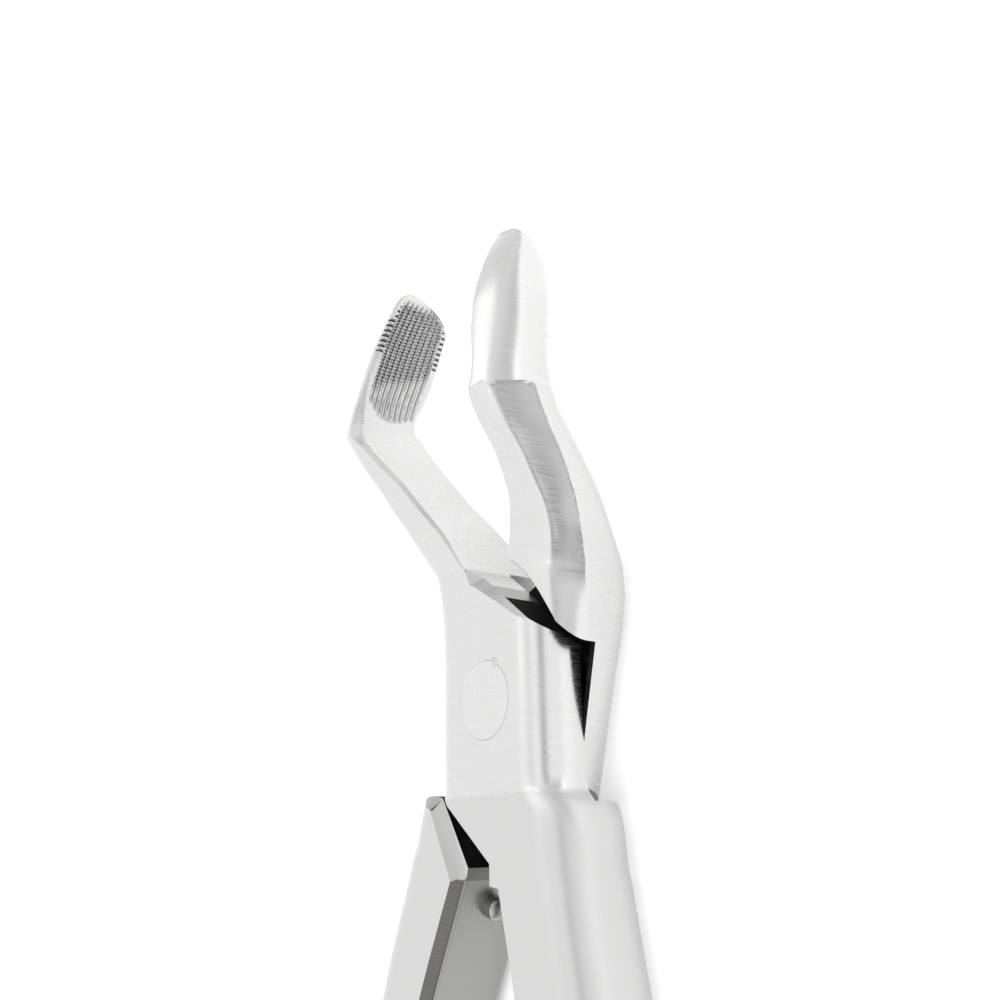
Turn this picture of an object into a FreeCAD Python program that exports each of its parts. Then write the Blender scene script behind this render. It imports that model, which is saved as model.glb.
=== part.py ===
"""Bayonet extraction forceps for upper third molars: two crossing steel halves on a flush pivot screw.

Units are millimetres. The forceps lies flat: +Z is the pivot axis, +Y runs from the pivot to the beak
tips, and X is the direction in which the beaks open. The origin is on the pivot axis at the flat
underside of the joint, so a table top is the plane Z = 0.

Each half is drawn closed, with its beak on the side that "side" names, and then turned about the pivot
into the half-open rest position.
"""
import FreeCAD, Part
import os
import re

import Sketcher

Vector = FreeCAD.Vector
Rotation = FreeCAD.Rotation
Placement = FreeCAD.Placement

DIMENSIONS = {
    # joint
    "joint_thick": 10.6,      # both plates together, along the pivot axis
    "plate_gap": 0.04,        # play between the two plates
    "edge_near": 10.3,        # plate edge on its own beak's side
    "edge_far": 9.4,          # plate edge on its handle's side
    "edge_round": 4.3,        # big rounding of both long edges of the joint
    "ridge_x": 1.6,           # where the shank's inner face leaves the joint
    "ridge_y": 14.4,
    "shoulder_y": 5.6,        # far end of the plate's sloping shoulder
    "corner_radius": 12.5,    # sweep of the plate's lower corner about the pivot
    "corner_clear": 0.6,      # what the other half keeps clear of that sweep
    "block_y": 10.2,          # top of the handle's full thickness, at its outer side
    "wall_end_y": 7.4,        # lower end of the wall that faces the other plate's shoulder
    "wall_sag": -0.4,         # rise of that wall's curve, negative where it is hollow
    "wall_top_y": 14.8,       # its upper end, on the shank's inner face
    # shank and beak
    "bend_y": 19.5,           # middle of the shank's sweep away from the joint
    "bend_lift": 4.2,
    "bend_width": 7.8,
    "bend_tilt": 20.0,
    "bend_inner": 3.5,
    "bend_outer": 11.4,
    "bend_round": 2.6,        # rounding of the outer edges there
    "kink_y": 30.6,           # the crease between shank and beak
    "kink_lift": 13.6,
    "kink_inner": 7.0,
    "kink_outer": 11.7,
    "kink_width": 8.4,
    "kink_tilt": 12.2,        # degrees that the crease leans back over the shank
    "kink_round": 3.2,
    "belly_y": 39.0,          # middle of the beak
    "belly_inner": 4.6,
    "belly_outer": 9.4,
    "belly_lift": 12.3,
    "belly_width": 8.3,
    "belly_tilt": -3.0,
    "belly_round": 3.2,
    "tip_y": 48.2,
    "tip_lift": 10.5,
    "tip_inner": 1.6,
    "tip_outer": 4.6,
    "tip_width": 7.0,
    "tip_round": 1.4,
    "tip_peak": 1.0,          # how far the very tip stands above the middle of the beak
    "tip_top_y": 44.9,        # where the rounded end leaves the beak's two long edges
    "tip_low_y": 42.2,
    "tip_top_rise": 0.8,      # rise of the two curves of the rounded end
    "tip_low_rise": 1.5,
    "tip_spare": 0.3,         # how far those curves start outside the beak's edges
    "inner_edge": 0.2,        # chamfer along the inner edges of shank and beak
    "trough_depth": 0.8,      # hollow of the beak's gripping face
    "trough_radius": 7.0,
    "trough_start": 5.0,      # from the crease
    "trough_length": 23.0,
    # handle
    "handle_y": 17.2,         # top of the handle's flat inner face, below the pivot
    "handle_inner": 0.4,
    "handle_outer": 11.8,
    "heel_y": 7.8,            # where the joint's edge starts to flare into the handle
    "heel_inner": 2.4,
    "flare_y": 12.0,
    "flare_inner": 1.0,
    "flare_outer": 11.4,
    "neck_y": 31.0,
    "neck_inner": 3.5,
    "neck_outer": 14.0,
    "waist_y": 70.0,
    "waist_inner": 10.2,
    "waist_outer": 17.4,
    "palm_y": 104.0,
    "palm_inner": 12.6,
    "palm_outer": 20.2,
    "end_y": 127.0,
    "end_inner": 12.8,
    "end_outer": 20.8,
    "end_round": 3.4,
    "handle_chamfer": 1.1,
    "handle_round": 3.9,
    # pivot screw, its lock pin and the stop pin
    "screw_head_dia": 8.2,
    "screw_head_thick": 2.4,
    "screw_dia": 5.6,
    "screw_play": 0.03,       # radial play of the screw in the rear half
    "lock_dia": 1.0,
    "lock_length": 2.0,
    "lock_angle": 62.0,       # clock position of the lock pin on the head's rim
    "stop_dia": 2.4,
    "stop_y": 21.4,
    "stop_depth": 4.0,        # how far the stop pin is pressed into the rear handle
    "stop_reach": 1.9,        # how far it stands out of the handle's inner face
    "stop_rim": 0.5,          # length of its rounded end
    "stop_dome": 0.22,
    # rest position
    "front_open": 5.5,        # degrees that each half is turned from closed
    "rear_open": 8.5,
}

document = FreeCAD.newDocument("extraction_forceps")
sheet = document.addObject("Spreadsheet::Sheet", "Dim")
for row, (alias, value) in enumerate(DIMENSIONS.items(), start=1):
    sheet.set(f"A{row}", alias)
    sheet.set(f"B{row}", str(value))
    sheet.setAlias(f"B{row}", alias)
document.recompute()

ALIAS = re.compile(r"\b(" + "|".join(DIMENSIONS) + r")\b")


def bound(text):
    """The expression with every alias read from the sheet."""
    return ALIAS.sub(r"Dim.\1", str(text))


def number(text):
    """The present value of an expression."""
    value = sheet.evalExpression(bound(text))
    return float(getattr(value, "Value", value))


def origin_plane(body, role):
    return next(item for item in body.Origin.OriginFeatures if item.Role == role)


def attach(feature, body, role, offset=("0", "0", "0"), tilt="0", axis=(1, 0, 0)):
    """Puts a sketch or primitive on an origin plane, moved by offset and turned about one local axis."""
    feature.AttachmentSupport = [(origin_plane(body, role), "")]
    feature.MapMode = "FlatFace"
    base = Vector(*[number(value) for value in offset])
    feature.AttachmentOffset = Placement(base, Rotation(Vector(*axis), number(tilt)))
    for letter, value in zip("xyz", offset):
        if value != "0":
            feature.setExpression(f"AttachmentOffset.Base.{letter}", bound(value))
    if tilt != "0":
        feature.setExpression("AttachmentOffset.Rotation.Angle", bound(tilt))


def closed_sketch(body, name, corners, bulges=None, **place):
    """A closed outline: corners are pairs of expressions, bulges give the rise of the edges that are arcs.

    The rise is positive where the arc swells to the right of its edge's direction.
    """
    bulges = bulges or {}
    sketch = body.newObject("Sketcher::SketchObject", name)
    attach(sketch, body, **place)
    points = [Vector(number(x), number(y), 0) for x, y in corners]
    count = len(points)
    for index in range(count):
        start = points[index]
        end = points[(index + 1) % count]
        if index in bulges:
            along = end - start
            right = Vector(along.y, -along.x, 0).normalize()
            middle = (start + end) * 0.5 + right * number(bulges[index])
            sketch.addGeometry(Part.Arc(start, middle, end), False)
        else:
            sketch.addGeometry(Part.LineSegment(start, end), False)
    # The sketcher runs every arc counter-clockwise, so one that swells to the left has its ends swapped.
    first = {}
    last = {}
    for index in range(count):
        reversed_arc = index in bulges and number(bulges[index]) < 0
        first[index] = 2 if reversed_arc else 1
        last[index] = 1 if reversed_arc else 2
    for index in range(count):
        after = (index + 1) % count
        sketch.addConstraint(Sketcher.Constraint("Coincident", index, last[index], after, first[after]))
    for index, (x, y) in enumerate(corners):
        for kind, text in (("DistanceX", x), ("DistanceY", y)):
            item = Sketcher.Constraint(kind, -1, 1, index, first[index], number(text))
            constraint = sketch.addConstraint(item)
            sketch.setExpression(f"Constraints[{constraint}]", bound(text))
    for index, rise in bulges.items():
        x0, y0 = corners[index]
        x1, y1 = corners[(index + 1) % count]
        chord = f"((({x1}) - ({x0}))^2 + (({y1}) - ({y0}))^2)"
        radius = f"({chord} / 4 + ({rise})^2) / (2 * abs({rise}))"
        item = Sketcher.Constraint("Radius", index, number(radius))
        constraint = sketch.addConstraint(item)
        sketch.setExpression(f"Constraints[{constraint}]", bound(radius))
    return sketch


QUARTER_RISE = 0.29289    # rise of a quarter circle for each unit of its radius


def bar_section(body, name, y, inner, outer, half, chamfer, rounding, lift="0", tilt="0"):
    """A section across the bar at height y: flat inner side with chamfers, outer side with big roundings.

    inner and outer are signed places along X; half is half the section's width along the pivot axis.
    """
    way = 1 if number(outer) > number(inner) else -1
    middle = "joint_thick / 2"
    corners = [
        (inner, f"{chamfer} - ({half})"),
        (inner, f"({half}) - {chamfer}"),
        (f"({inner}) + {way} * {chamfer}", half),
        (f"({outer}) - {way} * ({rounding})", half),
        (outer, f"({half}) - ({rounding})"),
        (outer, f"({rounding}) - ({half})"),
        (f"({outer}) - {way} * ({rounding})", f"-({half})"),
        (f"({inner}) + {way} * {chamfer}", f"-({half})"),
    ]
    rise = f"{way} * -{QUARTER_RISE} * ({rounding})"
    place = {"role": "XZ_Plane", "offset": ("0", f"{middle} + ({lift})", f"-({y})"), "tilt": tilt}
    return closed_sketch(body, name, corners, {3: rise, 5: rise}, **place)


def loft(body, name, sections, ruled=False):
    feature = body.newObject("PartDesign::AdditiveLoft", name)
    feature.Profile = (sections[0], [""])
    feature.Sections = [(section, [""]) for section in sections[1:]]
    feature.Ruled = ruled
    document.recompute()
    return feature


def pocket(body, name, sketch, length, reverse=False, both_ways=False):
    """Cuts along the sketch's normal, and makes sure that something was cut."""
    before = body.Shape.Volume
    feature = body.newObject("PartDesign::Pocket", name)
    feature.Profile = (sketch, [""])
    feature.setExpression("Length", bound(length))
    feature.Reversed = reverse
    feature.Midplane = both_ways
    document.recompute()
    if body.Shape.Volume > before - 0.01:
        raise RuntimeError(f"{name} cuts nothing")
    return feature


def make_half(name, side, upper):
    """One forged half, closed: side is the sign of its beak's X, upper tells which plate it carries."""
    body = document.addObject("PartDesign::Body", name)
    body.Label = name
    half = "joint_thick / 2"

    # the joint bar, full thickness, with the long edges rounded
    bar_near = f"{side} * edge_near"
    bar_far = f"{-side} * edge_far"
    bar_corners = [
        (f"{bar_far} + {side} * edge_round", f"-({half})"),
        (f"{bar_near} - {side} * edge_round", f"-({half})"),
        (bar_near, f"edge_round - {half}"),
        (bar_near, f"{half} - edge_round"),
        (f"{bar_near} - {side} * edge_round", half),
        (f"{bar_far} + {side} * edge_round", half),
        (bar_far, f"{half} - edge_round"),
        (bar_far, f"edge_round - {half}"),
    ]
    corner = f"{side} * {QUARTER_RISE} * edge_round"
    bar_sketch = closed_sketch(
        body, f"{name}_bar_section", bar_corners, {1: corner, 3: corner, 5: corner, 7: corner},
        role="XZ_Plane", offset=("0", half, "-ridge_y"))
    bar = body.newObject("PartDesign::Pad", f"{name}_bar")
    bar.Profile = (bar_sketch, [""])
    bar.setExpression("Length", bound("ridge_y + handle_y"))
    document.recompute()

    # the handle
    stations = [
        ("heel", "heel_y", "heel_inner", "edge_far"),
        ("flare", "flare_y", "flare_inner", "flare_outer"),
        ("top", "handle_y", "handle_inner", "handle_outer"),
        ("neck", "neck_y", "neck_inner", "neck_outer"),
        ("waist", "waist_y", "waist_inner", "waist_outer"),
        ("palm", "palm_y", "palm_inner", "palm_outer"),
        ("end", "end_y", "end_inner", "end_outer"),
    ]
    sections = []
    for label, y, inner, outer in stations:
        sections.append(bar_section(
            body, f"{name}_handle_{label}", f"-{y}", f"{-side} * {inner}", f"{-side} * {outer}",
            half, "handle_chamfer", "handle_round"))
    loft(body, f"{name}_handle", sections[:2], ruled=True)
    loft(body, f"{name}_grip", sections[1:])

    # the shank, from the joint up to the crease
    shank = [
        bar_section(body, f"{name}_shank_root", "ridge_y", f"{side} * ridge_x", bar_near, half,
                    "inner_edge", "edge_round"),
        bar_section(body, f"{name}_shank_bend", "bend_y", f"{side} * bend_inner",
                    f"{side} * bend_outer", "bend_width / 2", "inner_edge", "bend_round",
                    "bend_lift", "bend_tilt"),
        bar_section(body, f"{name}_shank_kink", "kink_y", f"{side} * kink_inner",
                    f"{side} * kink_outer", "kink_width / 2", "inner_edge", "kink_round",
                    "kink_lift", "kink_tilt"),
    ]
    loft(body, f"{name}_shank", shank)

    # the beak, from the crease to the tip
    beak = [
        shank[-1],
        bar_section(body, f"{name}_beak_belly", "belly_y", f"{side} * belly_inner",
                    f"{side} * belly_outer", "belly_width / 2", "inner_edge", "belly_round",
                    "belly_lift", "belly_tilt"),
        bar_section(body, f"{name}_beak_tip", "tip_y", f"{side} * tip_inner",
                    f"{side} * tip_outer", "tip_width / 2", "inner_edge", "tip_round", "tip_lift"),
    ]
    loft(body, f"{name}_beak", beak)

    cut_tip(body, name)
    cut_trough(body, name, side)
    cut_handle_end(body, name, side)
    cut_plate_outline(body, name, side)
    cut_mate_space(body, name, side, upper)
    return body


def cut_tip(body, name):
    """Rounds the beak's end, seen from the side."""
    middle = "joint_thick / 2 + tip_lift"
    spare = 4
    corners = [
        ("tip_low_y", f"{middle} - tip_width / 2 - tip_spare"),
        ("tip_y", f"{middle} + tip_peak"),
        ("tip_top_y", f"{middle} + tip_width / 2 + tip_spare"),
        (f"tip_y + {spare}", f"{middle} + tip_width / 2 + {spare}"),
        (f"tip_y + {spare}", f"{middle} - tip_width / 2 - {spare}"),
        ("tip_low_y", f"{middle} - tip_width / 2 - {spare}"),
    ]
    bulges = {0: "tip_low_rise", 1: "tip_top_rise"}
    sketch = closed_sketch(body, f"{name}_tip_outline", corners, bulges, role="YZ_Plane")
    pocket(body, f"{name}_tip_round", sketch, "edge_near * 4", both_ways=True)


def cut_trough(body, name, side):
    """The hollow of the gripping face: part of a cylinder that lies along the beak."""
    groove = body.newObject("PartDesign::SubtractiveCylinder", f"{name}_trough")
    run = number("tip_y - kink_y")
    drop = number("kink_inner - tip_inner")
    lean = number("kink_lift - tip_lift")
    start = Vector(side * number("kink_inner + trough_depth - trough_radius"), number("kink_y"),
                   number("joint_thick / 2 + kink_lift"))
    along = Vector(-side * drop, run, -lean).normalize()
    groove.setExpression("Radius", bound("trough_radius"))
    groove.setExpression("Height", bound("trough_length"))
    groove.Placement = Placement(start + along * number("trough_start"), Rotation(Vector(0, 0, 1), along))
    document.recompute()


def cut_handle_end(body, name, side):
    """Rounds the handle's end in plan and from the side."""
    outer = f"{-side} * end_outer"
    inner = f"{-side} * end_inner"
    rise = f"{side * QUARTER_RISE} * end_round"
    plan = [
        (f"{outer} - {side}", "end_round - end_y"),
        (outer, "end_round - end_y"),
        (f"{outer} + {side} * end_round", "-end_y"),
        (f"{inner} - {side} * end_round", "-end_y"),
        (inner, "end_round - end_y"),
        (f"{inner} + {side}", "end_round - end_y"),
        (f"{inner} + {side}", "-end_y - 1"),
        (f"{outer} - {side}", "-end_y - 1"),
    ]
    sketch = closed_sketch(body, f"{name}_end_plan", plan, {1: rise, 3: rise}, role="XY_Plane")
    pocket(body, f"{name}_end_round", sketch, "joint_thick * 3", both_ways=True)


def cut_plate_outline(body, name, side):
    """Trims the joint bar in plan: the sloping shoulder, and the lower corner with the slope below it."""
    spare = 3
    shoulder = [
        (f"{side} * ridge_x", "ridge_y"),
        (f"{side} * ridge_x", f"ridge_y + {spare}"),
        (f"{-side} * (edge_far + {spare})", f"ridge_y + {spare}"),
        (f"{-side} * (edge_far + {spare})", f"shoulder_y - {spare} * (ridge_y - shoulder_y)"
         " / (edge_far + ridge_x)"),
    ]
    sketch = closed_sketch(body, f"{name}_shoulder_plan", shoulder, role="XY_Plane")
    pocket(body, f"{name}_shoulder", sketch, "joint_thick * 3", both_ways=True)
    near_y = "sqrt(corner_radius^2 - edge_near^2)"
    low_x = "corner_radius / 2"
    low_y = "corner_radius * sqrt(3) / 2"
    rise = (f"corner_radius - sqrt(corner_radius^2 - ((edge_near - {low_x})^2"
            f" + ({near_y} - {low_y})^2) / 4)")
    corner = [
        (f"{side} * edge_near", f"-{near_y}"),
        (f"{side} * {low_x}", f"-{low_y}"),
        (f"{-side} * handle_inner", "-(handle_y - 1)"),
        (f"{-side} * handle_inner", f"-(handle_y + {spare})"),
        (f"{side} * (edge_near + {spare})", f"-(handle_y + {spare})"),
        (f"{side} * (edge_near + {spare})", f"-{near_y}"),
    ]
    bulge = rise if side < 0 else f"-({rise})"
    sketch = closed_sketch(body, f"{name}_corner_plan", corner, {0: bulge}, role="XY_Plane")
    pocket(body, f"{name}_corner", sketch, "joint_thick * 3", both_ways=True)


def cut_mate_space(body, name, side, upper):
    """Room for the other half's plate to swing in, with walls that follow its shoulder and its corner."""
    spare = 3
    sweep = "(corner_radius + corner_clear)"
    start_x = f"{sweep} / 2"
    start_y = f"{sweep} * sqrt(3) / 2"
    corners = [
        (f"{side} * ridge_x", "wall_top_y"),
        (f"{side} * edge_near", "wall_end_y"),
        (f"{side} * (edge_near + {spare})", "wall_end_y - 1"),
        (f"{side} * (edge_near + {spare})", "-(handle_y + 1)"),
        (f"{-side} * handle_inner", "-(handle_y + 1)"),
        (f"{-side} * handle_inner", "-handle_y"),
        (f"{-side} * {start_x}", f"-{start_y}"),
        (f"{-side} * (edge_near + {spare})", "-block_y"),
        (f"{-side} * (edge_near + {spare})", "ridge_y + 5"),
        (f"{side} * ridge_x", "ridge_y + 5"),
    ]
    bulges = {0: f"{side} * wall_sag"}
    level = "(joint_thick + plate_gap) / 2" if upper else "(joint_thick - plate_gap) / 2"
    sketch = closed_sketch(body, f"{name}_mate_plan", corners, bulges, role="XY_Plane",
                           offset=("0", "0", level))
    pocket(body, f"{name}_mate_space", sketch, "joint_thick", reverse=not upper)


def bore(body, name, x, y, diameter, level, length, reverse=False):
    """A round pocket along the pivot axis from a level, down unless reversed."""
    sketch = body.newObject("Sketcher::SketchObject", f"{name}_circle")
    attach(sketch, body, "XY_Plane", ("0", "0", level))
    place = Vector(number(x), number(y), 0)
    sketch.addGeometry(Part.Circle(place, Vector(0, 0, 1), number(f"({diameter}) / 2")), False)
    for kind, text in (("DistanceX", x), ("DistanceY", y)):
        constraint = sketch.addConstraint(Sketcher.Constraint(kind, -1, 1, 0, 3, number(text)))
        sketch.setExpression(f"Constraints[{constraint}]", bound(text))
    constraint = sketch.addConstraint(Sketcher.Constraint("Diameter", 0, number(diameter)))
    sketch.setExpression(f"Constraints[{constraint}]", bound(diameter))
    pocket(body, name, sketch, length, reverse=reverse)


def turned(name, corners, bulges, role, offset, axis):
    """A turned piece from half of its section, on an origin plane, and the sketch axis it turns about."""
    body = document.addObject("PartDesign::Body", name)
    body.Label = name
    sketch = closed_sketch(body, f"{name}_profile", corners, bulges, role=role, offset=offset)
    turn = body.newObject("PartDesign::Revolution", f"{name}_turned")
    turn.Profile = (sketch, [""])
    turn.ReferenceAxis = (sketch, [axis])
    turn.Angle = 360
    document.recompute()
    return body


def make_pivot_screw():
    """Flush screw: a wide thin head in the front half, and a plain pivot that the rear half turns on."""
    corners = [
        ("0", "0"),
        ("screw_dia / 2", "0"),
        ("screw_dia / 2", "joint_thick - screw_head_thick"),
        ("screw_head_dia / 2", "joint_thick - screw_head_thick"),
        ("screw_head_dia / 2", "joint_thick"),
        ("0", "joint_thick"),
    ]
    return turned("pivot_screw", corners, {}, "XZ_Plane", ("0", "0", "0"), "V_Axis")


LOCK_X = "screw_head_dia / 2 * cos(lock_angle)"
LOCK_Y = "screw_head_dia / 2 * sin(lock_angle)"
STOP_FACE = ("-(handle_inner + (neck_inner - handle_inner) * (stop_y - handle_y)"
             " / (neck_y - handle_y))")


def make_lock_pin():
    """Small pin on the rim of the screw's head, which keeps the screw from turning in the front half."""
    pin = document.addObject("Part::Cylinder", "lock_pin")
    pin.Label = "lock_pin"
    pin.setExpression("Radius", bound("lock_dia / 2"))
    pin.setExpression("Height", bound("lock_length"))
    return pin


def make_stop_pin():
    """Round-ended pin in the rear handle, which the front handle meets when the beaks close."""
    radius = "stop_dia / 2"
    corners = [
        (f"{STOP_FACE} - stop_depth", "0"),
        (f"{STOP_FACE} + stop_reach", "0"),
        (f"{STOP_FACE} + stop_reach - stop_rim", radius),
        (f"{STOP_FACE} - stop_depth", radius),
    ]
    return turned("stop_pin", corners, {1: "stop_dome"}, "XY_Plane", ("0", "-stop_y", "joint_thick / 2"),
                  "H_Axis")


def stop_hole(body):
    """The stop pin's hole in the rear handle."""
    radius = "stop_dia / 2"
    corners = [
        (f"{STOP_FACE} - stop_depth", "0"),
        (f"{STOP_FACE} + stop_reach", "0"),
        (f"{STOP_FACE} + stop_reach", radius),
        (f"{STOP_FACE} - stop_depth", radius),
    ]
    sketch = closed_sketch(body, "stop_hole_profile", corners, role="XY_Plane",
                           offset=("0", "-stop_y", "joint_thick / 2"))
    groove = body.newObject("PartDesign::Groove", "stop_hole")
    groove.Profile = (sketch, [""])
    groove.ReferenceAxis = (sketch, ["H_Axis"])
    groove.Angle = 360
    document.recompute()


def turn_about_pivot(item, degrees):
    item.Placement = Placement(item.Placement.Base, Rotation(Vector(0, 0, 1), number(degrees)))
    item.setExpression("Placement.Rotation.Angle", bound(degrees))


front = make_half("front_half", -1, True)
bore(front, "front_bore", "0", "0", "screw_dia", "joint_thick", "joint_thick")
bore(front, "front_counterbore", "0", "0", "screw_head_dia", "joint_thick", "screw_head_thick")
bore(front, "front_lock_hole", LOCK_X, LOCK_Y, "lock_dia", "joint_thick", "lock_length")
rear = make_half("rear_half", 1, False)
bore(rear, "rear_bore", "0", "0", "screw_dia + 2 * screw_play", "joint_thick", "joint_thick")
stop_hole(rear)
screw = make_pivot_screw()
bore(screw, "screw_lock_hole", LOCK_X, LOCK_Y, "lock_dia", "joint_thick", "lock_length")
lock = make_lock_pin()
stop = make_stop_pin()

for piece in (front, screw):
    turn_about_pivot(piece, "front_open")
for piece in (rear, stop):
    turn_about_pivot(piece, "-rear_open")
angle = "lock_angle + front_open"
lock.setExpression("Placement.Base.x", bound(f"screw_head_dia / 2 * cos({angle})"))
lock.setExpression("Placement.Base.y", bound(f"screw_head_dia / 2 * sin({angle})"))
lock.setExpression("Placement.Base.z", bound("joint_thick - lock_length"))
document.recompute()

pieces = [front, rear, screw, lock, stop]
for item in document.Objects:
    if "Invalid" in item.State or "Error" in item.State:
        raise RuntimeError(f"{item.Name} failed: {item.State}")
os.makedirs("parts", exist_ok=True)
for piece in pieces:
    shape = piece.Shape
    if shape.isNull() or not shape.isValid():
        raise RuntimeError(f"{piece.Label} has no valid shape")
    shape.exportStep(f"parts/{piece.Label}.step")
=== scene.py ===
"""Looks of the bayonet extraction forceps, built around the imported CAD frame.

Shapes are worked out in millimetres in a half's own "closed" frame and then turned to the rest position.
There, t runs along the pivot-to-tip axis, q is the distance from the mid-plane towards the half's own
beak, and w is the distance across the bar's thickness, from its centre line.
"""
import math

import bmesh
import bpy
import numpy as np
from mathutils import Matrix, Vector


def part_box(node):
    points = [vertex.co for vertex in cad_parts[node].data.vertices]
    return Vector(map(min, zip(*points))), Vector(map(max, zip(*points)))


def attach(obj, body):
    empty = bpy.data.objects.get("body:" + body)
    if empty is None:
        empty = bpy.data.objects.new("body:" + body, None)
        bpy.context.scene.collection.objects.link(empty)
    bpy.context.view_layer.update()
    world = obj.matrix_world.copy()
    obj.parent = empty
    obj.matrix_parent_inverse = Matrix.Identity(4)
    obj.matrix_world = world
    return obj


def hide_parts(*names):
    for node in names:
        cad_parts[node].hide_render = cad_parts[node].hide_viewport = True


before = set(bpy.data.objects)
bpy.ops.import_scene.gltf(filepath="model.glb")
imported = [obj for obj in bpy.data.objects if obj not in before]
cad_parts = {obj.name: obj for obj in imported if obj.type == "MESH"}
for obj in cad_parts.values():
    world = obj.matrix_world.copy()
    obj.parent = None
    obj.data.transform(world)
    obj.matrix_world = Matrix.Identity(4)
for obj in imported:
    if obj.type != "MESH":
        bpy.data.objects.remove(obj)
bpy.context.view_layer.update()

MM = 0.001


def as_mm(point):
    """A point of the frame in millimetres."""
    return [value / MM for value in point]


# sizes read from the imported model
THICK = as_mm(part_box("pivot_screw")[1])[2]    # the screw is as long as the joint is thick
HEAD_R = as_mm(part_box("pivot_screw")[1])[0]
PIN_LOW, PIN_HIGH = [as_mm(corner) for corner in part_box("lock_pin")]
PIN_R = (PIN_HIGH[0] - PIN_LOW[0]) / 2
MID = THICK / 2          # height of the plane where the two joint plates meet
HALF = THICK / 2         # half the bar's thickness at the joint

# joint
EDGE_NEAR = 10.3         # mid-plane to the edge on the half's own beak side
EDGE_FAR = 9.4           # mid-plane to the other edge
EDGE_ROUND = 4.3         # rounding along the joint's edges
RIDGE_Q = 1.6            # inner side of the shank where it leaves the joint
RIDGE_T = 14.4           # where the shank starts
SHOULDER_T = 5.6         # where the slanting shoulder reaches the far edge
CORNER_R = 12.5          # lower corner of the plate, round the pivot
CORNER_CLEAR = 0.6       # gap between that corner and the other half
BLOCK_T = 10.2           # where the front half's room ends below the pivot, on the far side
WALL_END_T = 7.4         # outer end of the wall above the other half's plate
WALL_TOP_T = 14.8        # inner end of that wall
PLATE_PLAY = 0.02        # each plate stays this far from the middle plane
SCREW_R = 2.8
HEAD_DEEP = 2.43         # depth of the screw head's seat
HOLE_PLAY = 0.02
PAST = 3.0               # how far cutters reach past the metal

# shank, beak and handle
KINK_T = 30.6            # bend between the shank and the beak
BEAK_MID = 39.0
BEAK_END = 48.2
FULL_ROUND = 9.0         # more than the beak is wide, so its outer side is one round
HANDLE_T = 17.2          # pivot to the start of the handle
HANDLE_IN = 0.4          # mid-plane to the handle's inner face at its start
HANDLE_END = -127.0
HANDLE_ROUND = 3.9       # rounding of the handle's outer side
HANDLE_CHAMFER = 1.1     # chamfers along its inner face
HANDLE_INNER = [(HANDLE_T, HANDLE_IN), (31.0, 3.5), (70.0, 10.2), (104.0, 12.6), (127.0, 12.8)]
TAIL_ROUND = 3.4         # length of the rounded end of the handle
FRONT_OPEN = 5.5         # degrees from closed to the rest position
REAR_OPEN = -8.5


# ---------------------------------------------------------------- curves

def smooth(keys, t):
    """Monotone cubic curve through (t, value) keys, level beyond the first and the last."""
    x = np.array([key[0] for key in keys], float)
    y = np.array([key[1] for key in keys], float)
    gap = np.diff(x)
    slope = np.diff(y) / gap
    tangent = np.zeros(len(x))
    for i in range(1, len(x) - 1):
        if slope[i - 1] * slope[i] > 0:
            before = 2 * gap[i] + gap[i - 1]
            after = gap[i] + 2 * gap[i - 1]
            tangent[i] = (before + after) / (before / slope[i - 1] + after / slope[i])
    tangent[0] = slope[0]
    tangent[-1] = slope[-1]
    t = np.clip(t, x[0], x[-1])
    i = np.clip(np.searchsorted(x, t, side="right") - 1, 0, len(gap) - 1)
    u = (t - x[i]) / gap[i]
    return ((2 * u ** 3 - 3 * u ** 2 + 1) * y[i] + (u ** 3 - 2 * u ** 2 + u) * gap[i] * tangent[i]
            + (3 * u ** 2 - 2 * u ** 3) * y[i + 1] + (u ** 3 - u ** 2) * gap[i] * tangent[i + 1])


def step(low, high, value):
    """0 below low, 1 above high, smooth between."""
    u = np.clip((value - low) / (high - low), 0.0, 1.0)
    return u * u * (3 - 2 * u)


def arc(start, end, rise, count=16):
    """Points from start to end on an arc whose middle stands rise to the right of the chord."""
    start = np.array(start, float)
    end = np.array(end, float)
    chord = np.linalg.norm(end - start)
    along = (end - start) / chord
    right = np.array([along[1], -along[0]])
    radius = (chord ** 2 / 4 + rise ** 2) / (2 * abs(rise))
    points = []
    for i in range(count + 1):
        along_chord = (i / count - 0.5) * chord
        height = math.sqrt(radius ** 2 - along_chord ** 2) - math.sqrt(radius ** 2 - chord ** 2 / 4)
        point = (start + end) / 2 + along * along_chord + right * height * (1 if rise > 0 else -1)
        points.append(tuple(point))
    return points


def turn(x, y, degrees):
    """The point, or arrays of points, turned about the pivot."""
    angle = math.radians(degrees)
    return x * math.cos(angle) - y * math.sin(angle), x * math.sin(angle) + y * math.cos(angle)


# ---------------------------------------------------------------- the swept bar of one half

# points round a section
LO_POINTS = 112          # the side that grips, which is the outer side on the handle
TOP_POINTS = 16
HI_POINTS = 52           # the other side
LOW_POINTS = 12

# hollow bevel under the shank's crest
BEVEL_SHARE = 0.6        # part of the upper corner's points on the bevel
BEVEL_HOLLOW = 0.12
BEVEL_INTO = (0.86, 0.5)     # direction into the metal, along q and against w

# gripping face
GRIP_HALF = 3.25         # half the width of the fluted strip
FLUTES = 9
FLUTE_DEPTH = 0.26
GRIP_HOLLOW = 0.55
CROSS_PITCH = 0.36
CROSS_DEPTH = 0.16
NOTCH_PITCH = 0.62       # notches along both rims
NOTCH_DEPTH = 0.25

# crossed cuts on the handle
KNURL_LOW = -118.6
KNURL_HIGH = -65.4
KNURL_PITCH = 1.9
KNURL_DEPTH = 0.3
KNURL_FADE = 0.6


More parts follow.
